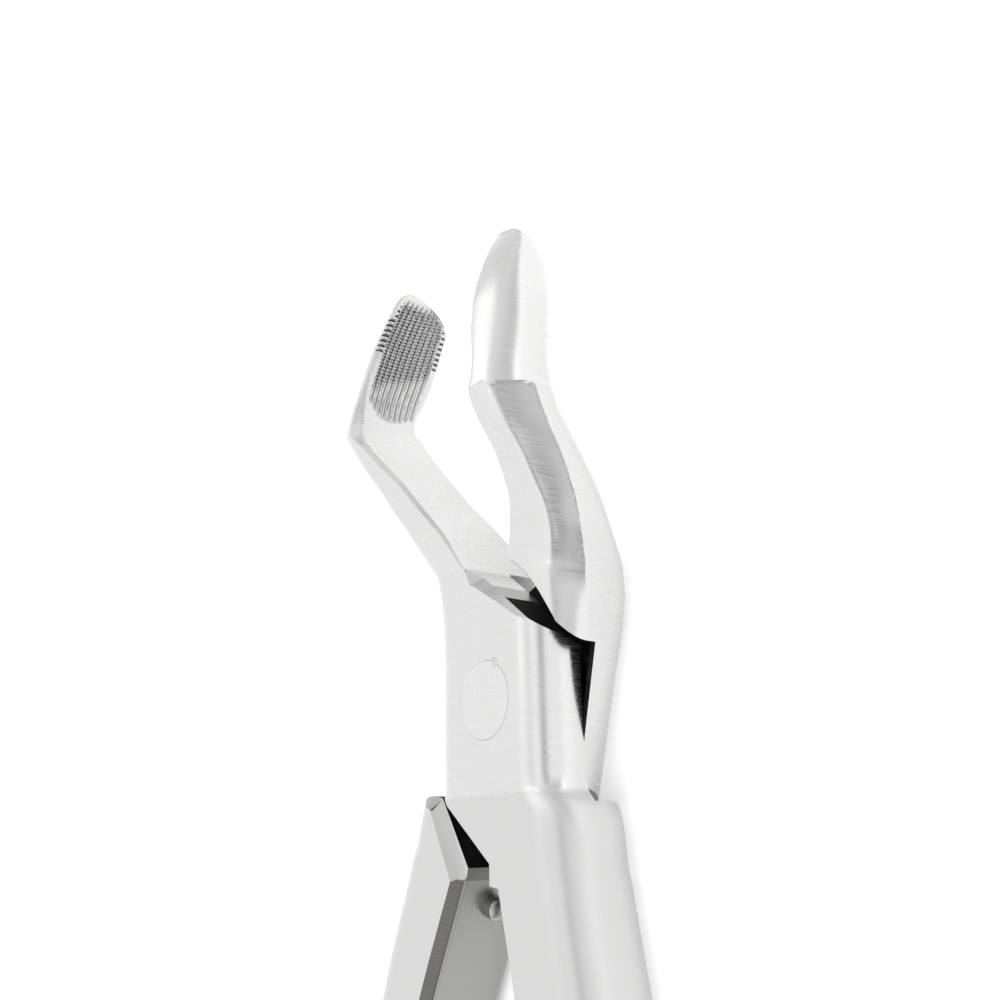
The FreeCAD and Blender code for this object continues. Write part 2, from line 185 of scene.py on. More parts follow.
def stations(tip):
    """Places along the bar, close together where there is fine relief."""
    tip_run = 2.4
    tip_steps = 34
    runs = [    # start, end and pitch
        (HANDLE_END, HANDLE_END + 3.6, 0.3),
        (HANDLE_END + 3.6, -120.0, 1.1),
        (-120.0, -62.0, 0.4),
        (-62.0, -HANDLE_T, 1.3),
        (-HANDLE_T + 0.001, -7.0, 0.5),
        (-7.0, 10.0, 1.7),
        (10.0, RIDGE_T, 0.6),
        (RIDGE_T + 0.002, 28.0, 0.5),
        (28.0, KINK_T - 0.05, 0.3),
        (KINK_T, KINK_T + 1.8, 0.3),
        (KINK_T + 1.8, tip - tip_run, 0.078),
    ]
    places = []
    for start, end, pitch in runs:
        count = max(1, round((end - start) / pitch))
        places += [start + (end - start) * i / count for i in range(count)]
    for i in range(tip_steps + 1):
        places.append(tip - tip_run + (tip_run - 0.005) * math.sin(math.pi / 2 * i / tip_steps))
    return np.array(places)


def on_shank(t):
    return t > RIDGE_T + 0.001


def on_beak(t):
    return t > KINK_T


def on_handle(t):
    return t <= -HANDLE_T


def centre_line(t):
    """Height of the section's middle and its lean in degrees."""
    shank = smooth([(4.0, MID), (8.0, MID + 0.1), (11.5, MID + 0.55), (RIDGE_T, MID + 1.25), (17.0, 8.1),
                    (19.5, 9.95), (25.0, 14.35), (KINK_T, 18.9)], t)
    beak = smooth([(KINK_T, 18.9), (BEAK_MID, 17.6), (BEAK_END, 15.8)], t)
    tilt = smooth([(RIDGE_T, 0.0), (16.5, 11.0), (19.5, 19.0), (25.0, 17.5), (KINK_T, 12.2),
                   (34.5, 3.0), (BEAK_MID, -3.0), (BEAK_END, 0.0)], t)
    return np.where(on_beak(t), beak, shank), tilt


def section_edges(t):
    """Lowest and highest w of the section, and its least and greatest q."""
    high = smooth([(RIDGE_T, HALF), (16.9, 4.3), (19.5, 3.42), (22.0, 3.0), (25.0, 3.05), (28.1, 3.85),
                   (KINK_T, 4.2), (BEAK_MID, 4.15), (BEAK_END, 3.5)], t)
    low = -smooth([(RIDGE_T, HALF), (19.5, 4.25), (KINK_T, 4.2), (BEAK_MID, 4.15), (BEAK_END, 3.5)], t)
    low = low - 0.7 * np.exp(-((t - KINK_T) / 1.7) ** 2)
    far_q = smooth([(8.0, EDGE_FAR), (9.4, EDGE_FAR + 0.25), (11.0, 10.9), (12.6, 11.4),
                      (HANDLE_T, 11.8), (31.0, 14.0), (70.0, 17.4), (104.0, 20.2), (127.0, 20.8)], -t)
    shank_q = smooth([(RIDGE_T, RIDGE_Q), (16.9, 2.7), (19.5, 3.7), (22.0, 4.9), (25.0, 5.7),
                      (28.1, 6.4), (31.0, 6.95), (BEAK_MID, 4.6), (BEAK_END, 1.6)], t)
    q_lo = np.where(on_shank(t), shank_q, -far_q)
    handle_q = smooth(HANDLE_INNER, -t)
    shank_out = smooth([(RIDGE_T, EDGE_NEAR), (16.9, 10.9), (19.5, 11.5), (22.0, 11.8), (KINK_T, 12.2)], t)
    beak_out = smooth([(KINK_T, 12.1), (BEAK_MID, 9.8), (44.0, 7.6), (BEAK_END, 5.0)], t)
    q_hi = np.where(on_handle(t), -handle_q, np.where(on_beak(t), beak_out, shank_out))
    return low, high, q_lo, q_hi


def section_corners(t):
    """Rounding of the side q_lo, corners of the side q_hi from below to above, and its crest."""
    edge_round = smooth([(RIDGE_T, 0.12), (19.0, 0.3), (25.0, 0.45), (29.6, 0.5), (KINK_T + 0.3, 1.0),
                         (36.5, 0.2), (BEAK_END, 0.2)], t)
    r_lo = np.where(on_shank(t), edge_round, EDGE_ROUND)
    r_lo = np.where(on_handle(t), HANDLE_ROUND, r_lo)
    deep_under = smooth([(-7.0, EDGE_ROUND), (5.0, 3.5), (RIDGE_T, 2.0), (19.5, 2.0), (25.0, 2.7),
                         (KINK_T, 4.2)], t)
    under = smooth([(-7.0, EDGE_ROUND), (5.0, 3.5), (RIDGE_T, 2.0), (19.5, 2.0), (25.0, 2.9),
                    (KINK_T, 4.6)], t)
    deep_over = smooth([(RIDGE_T, EDGE_ROUND), (17.5, 5.2), (24.0, 2.7), (KINK_T, 4.6)], t)
    over = smooth([(RIDGE_T, EDGE_ROUND), (19.5, 3.0), (25.0, 3.43), (KINK_T, 4.9)], t)
    hi = [np.where(on_handle(t), HANDLE_CHAMFER, np.where(on_beak(t), FULL_ROUND, value))
          for value in (deep_under, under, deep_over, over)]
    crest_blend = np.where(on_beak(t), 0, step(7.0, 19.0, t))
    crest_deep = smooth([(RIDGE_T, 1.9), (19.5, 1.7), (25.0, 1.8), (KINK_T, 2.0)], t)
    crest_drop = smooth([(RIDGE_T, 1.35), (24.0, 0.25), (KINK_T, 1.15)], t)
    crest = [value[:, None] for value in (crest_blend, crest_deep, crest_drop)]
    return r_lo, hi, crest


def side_points(count, low, high, edge, inward, lower, upper, chord, crest=None):
    """Points round one side of a section: the lower corner, the flat between, and the upper corner.

    A corner is (its depth along q, its width along w); where chord is 1 it is a flat chamfer. A crest
    (how much of it, depth, drop) makes the upper corner a hollow bevel below a crest instead.
    """
    deep_under, under = lower
    deep_over, over = upper
    first = (deep_under + under) / 2 * math.pi / 2
    last = (deep_over + over) / 2 * math.pi / 2
    flat = np.maximum(high - low - under - over, 1e-4)
    u = np.linspace(0.0, 1.0, count)
    s = u[None, :] * (first + flat + last)[:, None]
    first, last, flat, deep_under, deep_over, under, over, c = [
        value[:, None] for value in (first, last, flat, deep_under, deep_over, under, over, chord)]
    a = np.clip(s / first, 0, 1)
    b = np.clip((s - first - flat) / last, 0, 1)
    angle_a = a * math.pi / 2
    angle_b = b * math.pi / 2
    upper_q = (1 - c) * deep_over * (1 - np.cos(angle_b)) + c * deep_over * b
    upper_w = (1 - c) * over * np.sin(angle_b) + c * over * b
    if crest:
        blend, deep, drop = crest
        v = np.clip(b / BEVEL_SHARE, 0, 1)
        sag = 4 * v * (1 - v) * BEVEL_HOLLOW
        bevel_q = deep * v + sag * BEVEL_INTO[0]
        bevel_w = (over - drop) * v - sag * BEVEL_INTO[1]
        v = np.clip((b - BEVEL_SHARE) / (1 - BEVEL_SHARE), 0, 1)
        top_q = (1 - v) ** 2 * deep + 2 * v * (1 - v) * (deep + drop) + v ** 2 * deep_over
        top_w = (1 - v) ** 2 * (over - drop) + (2 * v * (1 - v) + v ** 2) * over
        crest_q = np.where(b < BEVEL_SHARE, bevel_q, top_q)
        crest_w = np.where(b < BEVEL_SHARE, bevel_w, top_w)
        upper_q = upper_q * (1 - blend) + crest_q * blend
        upper_w = upper_w * (1 - blend) + crest_w * blend
    lower_q = (1 - c) * deep_under * (1 - np.sin(angle_a)) + c * deep_under * (1 - a)
    lower_w = -(1 - c) * under * np.cos(angle_a) - c * under * (1 - a)
    q = lower_q + upper_q
    w = lower_w + upper_w + (low[:, None] + under) + np.clip(s - first, 0, flat)
    return edge[:, None] + inward * q, w


def saw(value):
    """0 to 1 to 0 over each whole number."""
    return 1 - np.abs(2 * (value - np.floor(value)) - 1)


def grip_relief(t, w, tip):
    """Depth of the gripping face's hollow, flutes, cross cuts and notches, and the shade painted into them.
    """
    reach = tip - t
    inside = w / (GRIP_HALF - 0.35 * step(40.0, tip, t))
    in_lanes = np.abs(inside) < 1
    end_line = KINK_T + 1.2 + 1.5 * (inside + 0.3) ** 2
    hollow = GRIP_HOLLOW * np.clip(1 - inside ** 2, 0, 1) * step(-0.4, 3.5, t - end_line)
    hollow = hollow * step(0.3, 7.0, reach)
    across = (inside + 1) / 2 * FLUTES
    across = across - np.floor(across) - 0.5
    run = np.clip((t - end_line) / 0.7, 0, 1) * step(0.8, 1.4, reach) * in_lanes
    channel = np.sqrt(np.clip(1 - (2 * across) ** 2, 0, 1)) * np.sqrt(run)
    crossed = step(36.0, 38.0, t + 0.35 * w) * step(1.1, 1.6, reach) * in_lanes
    cross = step(0.25, 0.85, saw((t + 0.12 * w) / CROSS_PITCH)) * crossed
    rim = step(39.2, 39.3, t) * step(1.7, 1.8, reach) * (np.abs(inside) >= 1.03)
    notch = step(0.5, 0.8, saw(t / NOTCH_PITCH)) * rim
    depth = hollow + FLUTE_DEPTH * channel + CROSS_DEPTH * cross + NOTCH_DEPTH * notch
    # painted shade: dark along one side of each flute's valley and in the cross cuts, changing across the
    # lanes, and near black in the notches
    shadow = np.clip(1.4 - 6.6 * np.abs(across + 0.14), 0, 1) * run
    dark = (shadow * (0.8 + 0.2 * cross) + 0.3 * cross * channel) * (0.8 + 0.25 * inside)
    return depth, np.clip(dark + 0.95 * notch, 0, 1)


def knurl(t, along):
    """Depth of the crossed cuts on the handle's outer side; along is the distance round the section."""
    slopes = [(t + along) / KNURL_PITCH, (t - along) / KNURL_PITCH]
    one, two = [1 - 5.2 * np.abs(slope - np.round(slope)) for slope in slopes]
    upper_end = step(KNURL_HIGH - KNURL_FADE, KNURL_HIGH, t)
    lower_end = step(KNURL_LOW, KNURL_LOW + KNURL_FADE, t)
    return KNURL_DEPTH * np.clip(np.maximum(one, two), 0, 1) * lower_end * (1 - upper_end)


def round_ends(t, tip, peak, top_round, low_round, edges):
    """The section's edges drawn in over the beak's end and the handle's end."""
    low, high, q_lo, q_hi = edges
    top_run = np.clip((t - (tip - top_round)) / top_round, 0, 1)
    high = peak + (high - peak) * (1 - top_run ** 1.9) ** 0.55
    low_run = np.clip((t - (tip - low_round)) / low_round, 0, 1)
    low = peak + (low - peak) * (1 - low_run ** 1.8) ** 0.65
    thin = np.clip((t - (tip - 1.5)) / 1.5, 0, 1)
    q_hi = q_lo + (q_hi - q_lo) * (0.35 + 0.65 * np.sqrt(1 - thin ** 2))
    tail = np.clip((HANDLE_END + TAIL_ROUND - t) / TAIL_ROUND, 0, 1)
    keep = np.sqrt(1 - 0.93 * tail ** 2)
    middle = (q_lo + q_hi) / 2
    on_tail = t < HANDLE_END + TAIL_ROUND
    q_lo = np.where(on_tail, middle + (q_lo - middle) * keep, q_lo)
    q_hi = np.where(on_tail, middle + (q_hi - middle) * keep, q_hi)
    low = np.where(on_tail, low * keep, low)
    high = np.where(on_tail, high * keep, high)
    return low, high, q_lo, q_hi


def add_relief(t, tip, low_round, edges, q, w):
    """The side q_lo with the grip on its beak and the knurl on its handle, and the shade painted into their
    cuts.
    """
    low, high, q_lo, _ = edges
    place = np.repeat(t[:, None], LO_POINTS, axis=1)
    past_kink = place > KINK_T + 0.3
    depth, dark = grip_relief(place, w, tip)
    margin = np.minimum(high[:, None] - w, w - low[:, None])
    near_end = step(0.2, 0.7, margin) + (place < tip - low_round)
    depth, dark = [value * np.clip(near_end, 0, 1) for value in (depth, dark)]
    q = q + np.where(past_kink, depth, 0)
    length_about = math.pi * HANDLE_ROUND + 2.8
    round_about = np.linspace(-0.5, 0.5, LO_POINTS)[None, :] * length_about
    cuts = knurl(place, round_about)
    away_q = q - (q_lo[:, None] + HANDLE_ROUND)
    away_w = w * 0.8
    length = np.hypot(away_q, away_w) + 1e-9
    q = q - away_q / length * cuts
    w = w - away_w / length * cuts
    # on the handle the cuts' painted shade grows with their depth
    return q, w, np.where(past_kink, dark, cuts / KNURL_DEPTH * 0.6)


def flat_points(count, first_q, last_q, w):
    """Points across the top or the underside of the section, without its two ends."""
    u = (np.arange(count) + 1) / (count + 1)
    q = first_q[:, None] + (last_q - first_q)[:, None] * u[None, :]
    return q, np.repeat(w[:, None], count, axis=1)


def skin(name, points, shade):
    """A closed mesh through the sections, with the shade painted into its cuts as an attribute."""
    rows, around, _ = points.shape
    faces = []
    for i in range(rows - 1):
        for j in range(around):
            k = (j + 1) % around
            faces.append((i * around + j, i * around + k, (i + 1) * around + k, (i + 1) * around + j))
    faces.append(tuple(range(around))[::-1])
    faces.append(tuple((rows - 1) * around + j for j in range(around)))
    mesh = bpy.data.meshes.new(name)
    mesh.from_pydata([tuple(v) for v in points.reshape(-1, 3) * MM], [], faces)
    # the painted shade of the cuts, kept as a point attribute
    painted_cavity_shade = mesh.attributes.new("painted_cavity_shade", "FLOAT", "POINT")
    painted_cavity_shade.data.foreach_set("value", shade.ravel().astype(np.float32))
    piece = bpy.data.objects.new(name, mesh)
    bpy.context.scene.collection.objects.link(piece)
    outward(mesh)
    return piece


def make_bar(name, side, degrees, *, tip, peak, top_round, low_round):
    """One half as a single swept skin, before its joint is cut.

    Its beak ends at tip along t and at peak along w. The end is rounded over top_round above the peak and
    over low_round below it.
    """
    t = stations(tip)
    centre, tilt = centre_line(t)
    edges = round_ends(t, tip, peak, top_round, low_round, section_edges(t))
    low, high, q_lo, q_hi = edges
    r_lo, (deep_under, under, deep_over, over), crest = section_corners(t)
    tall = high - low
    r_lo = np.minimum(r_lo, np.minimum(tall / 2, (q_hi - q_lo) / 2) * 0.96)
    deepest = (q_hi - q_lo - r_lo) * 0.97
    deep_under = np.minimum(deep_under, deepest)
    deep_over = np.minimum(deep_over, deepest)
    over = np.minimum(over, tall * np.where(on_beak(t), 0.5, 0.56))
    under = np.minimum(under, tall - over - 0.01)
    chamfer_lo = np.where(on_shank(t), 1.0, 0.0)
    chamfer_hi = np.where(on_handle(t), 1.0, 0.0)
    lo_q, lo_w = side_points(LO_POINTS, low, high, q_lo, 1, (r_lo, r_lo), (r_lo, r_lo), chamfer_lo)
    hi_q, hi_w = side_points(HI_POINTS, low, high, q_hi, -1, (deep_under, under), (deep_over, over),
                             chamfer_hi, crest)
    hi_q = hi_q[:, ::-1]
    hi_w = hi_w[:, ::-1]
    lo_q, lo_w, dark = add_relief(t, tip, low_round, edges, lo_q, lo_w)
    top_q, top_w = flat_points(TOP_POINTS, lo_q[:, -1], hi_q[:, 0], high)
    low_q, low_w = flat_points(LOW_POINTS, hi_q[:, -1], lo_q[:, 0], low)
    q = np.concatenate([lo_q, top_q, hi_q, low_q], axis=1)
    w = np.concatenate([lo_w, top_w, hi_w, low_w], axis=1)
    shade = np.zeros(q.shape)
    shade[:, :LO_POINTS] = dark

    lean = np.radians(tilt)[:, None]
    x, y = turn(side * q, t[:, None] - w * np.sin(lean), degrees)
    z = centre[:, None] + w * np.cos(lean)
    return skin(name, np.stack([x, y, z], axis=2), shade)


def outward(mesh):
    """Turns the faces of a closed mesh outward."""
    work = bmesh.new()
    work.from_mesh(mesh)
    bmesh.ops.recalc_face_normals(work, faces=work.faces)
    work.to_mesh(mesh)
    work.free()


# ---------------------------------------------------------------- cutters

def offset_outline(points, distance):
    """The outline moved outward by distance, for a counter-clockwise outline."""
    count = len(points)
    moved = []
    for i in range(count):
        before = np.array(points[i - 1])
        here = np.array(points[i])
        after = np.array(points[(i + 1) % count])
        first = (here - before) / np.linalg.norm(here - before)
        second = (after - here) / np.linalg.norm(after - here)
        n1 = np.array([first[1], -first[0]])
        n2 = np.array([second[1], -second[0]])
        bisector = n1 + n2
        scale = distance / max(0.3, 1 + float(n1 @ n2))
        moved.append(tuple(here + bisector * scale))
    return moved


def widened(outline, levels):
    """Levels of a cutter: the outline at each height, moved outward by that height's widening."""
    area = sum(a[0] * b[1] - b[0] * a[1] for a, b in zip(outline, outline[1:] + outline[:1]))
    outline = outline if area > 0 else outline[::-1]
    return [(height, offset_outline(outline, widening)) for height, widening in levels]


def cutter(levels, side, degrees):
    """A closed prism through outlines, in (q, t) points, at rising heights."""
    verts = []
    for height, outline in levels:
        for q, t in outline:
            x, y = turn(side * q, t, degrees)
            verts.append((x * MM, y * MM, height * MM))
    count = len(levels[0][1])
    faces = [tuple(range(count))[::-1]]
    for level in range(len(levels) - 1):
        for i in range(count):
            j = (i + 1) % count
            a = level * count
            b = a + count
            faces.append((a + i, a + j, b + j, b + i))
    faces.append(tuple((len(levels) - 1) * count + i for i in range(count)))
    mesh = bpy.data.meshes.new("cutter")
    mesh.from_pydata(verts, [], faces)
    tool = bpy.data.objects.new("cutter", mesh)
    bpy.context.scene.collection.objects.link(tool)
    outward(mesh)
    return tool


def round_cutter(x, y, radius, low, high, lip=0.0):
    """A drill about a vertical line; lip is the depth of a 45 degree countersink at the joint's top."""
    ring = [(x + radius * math.cos(a), y + radius * math.sin(a))
            for a in np.linspace(0, 2 * math.pi, 97)[:-1]]
    levels = [(low, 0.0), (high, 0.0)]
    if lip:
        levels = [(low, 0.0), (THICK - lip, 0.0), (high, high - THICK + lip)]
    return cutter(widened(ring, levels), 1, 0)


def carve(piece, tool):
    """Takes the tool away from the piece, for good."""
    cut = piece.modifiers.new("cut", "BOOLEAN")
    cut.operation = "DIFFERENCE"
    cut.solver = "MANIFOLD"
    cut.object = tool
    depsgraph = bpy.context.evaluated_depsgraph_get()
    mesh = bpy.data.meshes.new_from_object(piece.evaluated_get(depsgraph))
    piece.modifiers.clear()
    old = piece.data
    name = old.name
    piece.data = mesh
    bpy.data.meshes.remove(old)
    mesh.name = name
    bpy.data.objects.remove(tool, do_unlink=True)


def cut_out(piece, side, degrees, outline, *levels):
    """Takes a prism away from the piece; each level is a height and how much wider the outline is there."""
    carve(piece, cutter(widened(outline, levels), side, degrees))


def shoulder_line(q):
    """The slanting shoulder of the joint plate, as t at each q."""
    return RIDGE_T - (RIDGE_Q - q) * (RIDGE_T - SHOULDER_T) / (EDGE_FAR + RIDGE_Q)


def shoulder_outline():
    """Everything beyond the shoulder; the extra corners part its wall where the painted shade starts."""
    return [
        (RIDGE_Q + 0.02, shoulder_line(RIDGE_Q) + 0.016),
        (RIDGE_Q + 0.02, RIDGE_T + PAST),
        (-EDGE_FAR - PAST, RIDGE_T + PAST),
        (-EDGE_FAR - PAST, shoulder_line(-EDGE_FAR - PAST)),
        (-3.4, shoulder_line(-3.4)),
        (-1.2, shoulder_line(-1.2)),
    ]


def corner_outline():
    """Everything outside the plate's round lower corner, down to the handle."""
    near_t = math.sqrt(CORNER_R ** 2 - EDGE_NEAR ** 2)
    low_q = CORNER_R / 2
    low_t = CORNER_R * math.sqrt(3) / 2
    chord = math.hypot(EDGE_NEAR - low_q, near_t - low_t)
    rise = CORNER_R - math.sqrt(CORNER_R ** 2 - chord ** 2 / 4)
    return arc((EDGE_NEAR, -near_t), (low_q, -low_t), -rise) + [
        (-HANDLE_IN - 0.02, 1 - HANDLE_T),
        (-HANDLE_IN - 0.02, -HANDLE_T - PAST),
        (EDGE_NEAR + PAST, -HANDLE_T - PAST),
        (EDGE_NEAR + PAST, -near_t),
    ]


def room_outline(sweep, far_side):
    """Room for the other half's plate, between the wall below the shank and the handle."""
    return arc((RIDGE_Q, WALL_TOP_T), (EDGE_NEAR, WALL_END_T), -0.4) + [
        (EDGE_NEAR + PAST, WALL_END_T - 1),
        (EDGE_NEAR + PAST, -HANDLE_T - 1),
        (-HANDLE_IN, -HANDLE_T - 1),
        (-HANDLE_IN, -HANDLE_T),
        (-sweep / 2, -sweep * math.sqrt(3) / 2),
    ] + far_side + [
        (-EDGE_NEAR - PAST, RIDGE_T + 5),
        (RIDGE_Q, RIDGE_T + 5),
    ]


def cut_both(piece, side, degrees):
    """The shoulder and the lower corner, which the two halves share."""
    cut_out(piece, side, degrees, shoulder_outline(), (-2, 0.0), (THICK + 8, 0.0))
    cut_out(piece, side, degrees, corner_outline(), (-2, 0.0), (THICK + 3, 0.0))


def cut_front(piece, side, degrees):
    """The front half is the upper plate: room below it, and a bevel along its shoulder."""
    cut_both(piece, side, degrees)
    room = room_outline(CORNER_R + CORNER_CLEAR, [(-EDGE_NEAR - PAST, -BLOCK_T)])
    cut_out(piece, side, degrees, room, (-6, 0.0), (MID + PLATE_PLAY, 0.0))
    inner = RIDGE_Q - 1.5
    bevel = [
        (inner, shoulder_line(inner)),
        (inner, RIDGE_T + PAST),
        (-EDGE_FAR - PAST, RIDGE_T + PAST),
        (-EDGE_FAR - PAST, shoulder_line(-EDGE_FAR - PAST)),
    ]
    cut_out(piece, side, degrees, bevel, (THICK - 0.45, -0.02), (THICK + 1.2, 1.63))


def cut_rear(piece, side, degrees):
    """The rear half is the lower plate: room above it, and ground bevels along the room's walls."""
    cut_both(piece, side, degrees)
    sweep = CORNER_R + CORNER_CLEAR
    heel = arc((-7.0, -11.3), (-12.9, -17.6), 2.0)
    room = room_outline(sweep, heel + [(-EDGE_NEAR - PAST, -17.9)])
    cut_out(piece, side, degrees, room, (MID - PLATE_PLAY, 0.0), (THICK + 6, 0.0))

    # sickle-shaped bevel along the wall below the shank
    start = (RIDGE_Q - 0.3, WALL_TOP_T + 0.25)
    end = (EDGE_NEAR + 1, WALL_END_T - 0.85)
    tail = [(EDGE_NEAR + 1, 2.0), (RIDGE_Q - 0.3, 2.0)]
    sickle = [(height, (arc(start, end, sag, 20) + tail)[::-1])
              for height, sag in [(THICK - 1.0, -0.38), (THICK + 2.6, -3.0)]]
    carve(piece, cutter(sickle, side, degrees))

    # facet along the heel, above the handle
    facet = [
        (-HANDLE_IN + 2, -HANDLE_T - 0.9),
        (-HANDLE_IN - 0.3, -HANDLE_T - 0.9),
        (-sweep / 2, -sweep * math.sqrt(3) / 2),
    ] + heel + [(-13.0, -5.0), (2.0, -5.0)]
    cut_out(piece, side, degrees, facet, (THICK - 1.0, 0.0), (THICK + 0.2, 1.7))

    # pocket under the front plate's edge
    pocket = [(7.0, WALL_END_T), (9.62, WALL_END_T), (9.62, -6.5), (9.0, -7.5), (7.0, -7.5)]
    cut_out(piece, side, degrees, pocket, (MID - 1.3, 0.0), (THICK, 0.0))


def finish_mesh(piece, hard_angle=32.0):
    """Smooth shading, with hard edges where faces meet at more than the angle in degrees."""
    piece.data.shade_smooth()
    piece.data.set_sharp_from_angle(angle=math.radians(hard_angle))


# ---------------------------------------------------------------- which faces get painted shade

# material slots besides 0, the half's own steel; all three are painted shade: near black in the gaps,
# darker steel on the chamfers and inner faces
GAP = 1
SHADED_CHAMFER = 2
INNER = 3


def in_joint(y):
    return -HANDLE_T - 1 < y < RIDGE_T + 1


def on_plate(z, level, normal):
    """True on the flat face of a plate that lies at the level."""
    return abs(z - level) < 0.01 and abs(normal.z) > 0.99


def inside_wall(x, y):
    """True on the two walls that face the other plate, not on the bar's outer sides."""
    below_shank = RIDGE_Q - 0.5 < x < EDGE_NEAR - 0.05 and y > WALL_END_T - 0.3
    return below_shank or (-11.5 < x < 0 and y < -10)


def on_sickle(x, y, z):
    """True on the sickle-shaped bevel and not on the shank's own corner."""
    line = np.interp(x, [RIDGE_Q, EDGE_NEAR], [WALL_TOP_T, WALL_END_T])
    return x > 1.0 and WALL_END_T - 1 < y < line + 0.75 and THICK - 1.2 < z < THICK + 2.6


def front_slot(x, y, z, normal):
    """Material of a face at the front half's joint, or None for plain steel."""
    if not in_joint(y):
        return None
    # painted shade on the shoulder wall: near black away from the ridge, darker steel near it
    if abs(normal.z) < 0.05 and y > SHOULDER_T - 0.5 and x > 1.2 and z > MID:
        return GAP if x > 3.4 else INNER
    return GAP if on_plate(z, MID + PLATE_PLAY, normal) else None


def rear_slot(x, y, z, normal):
    """Material of a face at the rear half's joint, or None for plain steel."""
    leaning = 0.2 < normal.z < 0.9
    # painted shade: darker steel on the sickle bevel and the heel facet, near black on the walls, pocket
    # and plate inside the joint
    if leaning and (normal.x < -0.2 or normal.y < -0.3) and on_sickle(x, y, z):
        return SHADED_CHAMFER
    if leaning and -18.5 < y < -9.0 and x < 0 and z > THICK - 1.1:
        return INNER
    if not in_joint(y):
        return None
    wall = abs(normal.z) < 0.05 and MID < z < THICK - 1.0 and (abs(normal.y) > 0.25 or y < -11)
    pocket = MID - 1.4 < z < MID and x > 6.9 and y > -7.6 and (normal.z > 0.99 or normal.x < -0.9)
    on_wall = wall and inside_wall(x, y)
    return GAP if on_wall or pocket or on_plate(z, MID - PLATE_PLAY, normal) else None


def mark_faces(piece, side, degrees, joint_slot):
    """Gives the painted-shade materials to the faces in the joint's gaps, on the bevels and along the
    handle's chamfers and inner face.
    """
    for face in piece.data.polygons:
        x, y, z = as_mm(face.center)
        x, y = turn(x, y, -degrees)
        slot = joint_slot(x, y, z, face.normal)
        if slot is not None:
            face.material_index = slot
        if y < -HANDLE_T:
            inner = float(smooth(HANDLE_INNER, -y))
            # painted shade: darker steel on the handle's chamfers and inner face
            if 0.6 < abs(face.normal.z) < 0.8 and side * x > -inner - 1.4:
                face.material_index = SHADED_CHAMFER
            if abs(face.normal.z) < 0.3 and side * x > -inner - 0.4:
                face.material_index = INNER


front = make_bar("front_forging", -1, FRONT_OPEN, tip=46.7, peak=2.5, top_round=1.2, low_round=3.4)
rear = make_bar("rear_forging", 1, REAR_OPEN, tip=49.2, peak=1.3, top_round=10.5, low_round=5.4)
cut_front(front, -1, FRONT_OPEN)
cut_rear(rear, 1, REAR_OPEN)

# holes for the screw and its lock pin, a hair wider than they are
pin_x = (PIN_LOW[0] + PIN_HIGH[0]) / 2
pin_y = (PIN_LOW[1] + PIN_HIGH[1]) / 2
carve(front, round_cutter(0, 0, HEAD_R + HOLE_PLAY, THICK - HEAD_DEEP, THICK + 1, lip=0.02))
carve(front, round_cutter(0, 0, SCREW_R + HOLE_PLAY, 1, THICK))
carve(front, round_cutter(pin_x, pin_y, PIN_R + HOLE_PLAY, PIN_LOW[2] - 0.03, THICK + 1))
carve(rear, round_cutter(0, 0, SCREW_R + 0.05, -1, THICK))

mark_faces(front, -1, FRONT_OPEN, front_slot)
mark_faces(rear, 1, REAR_OPEN, rear_slot)
finish_mesh(front)
finish_mesh(rear)

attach(front, "front")
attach(rear, "rear")
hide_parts("front_half")
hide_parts("rear_half")


# ---------------------------------------------------------------- materials

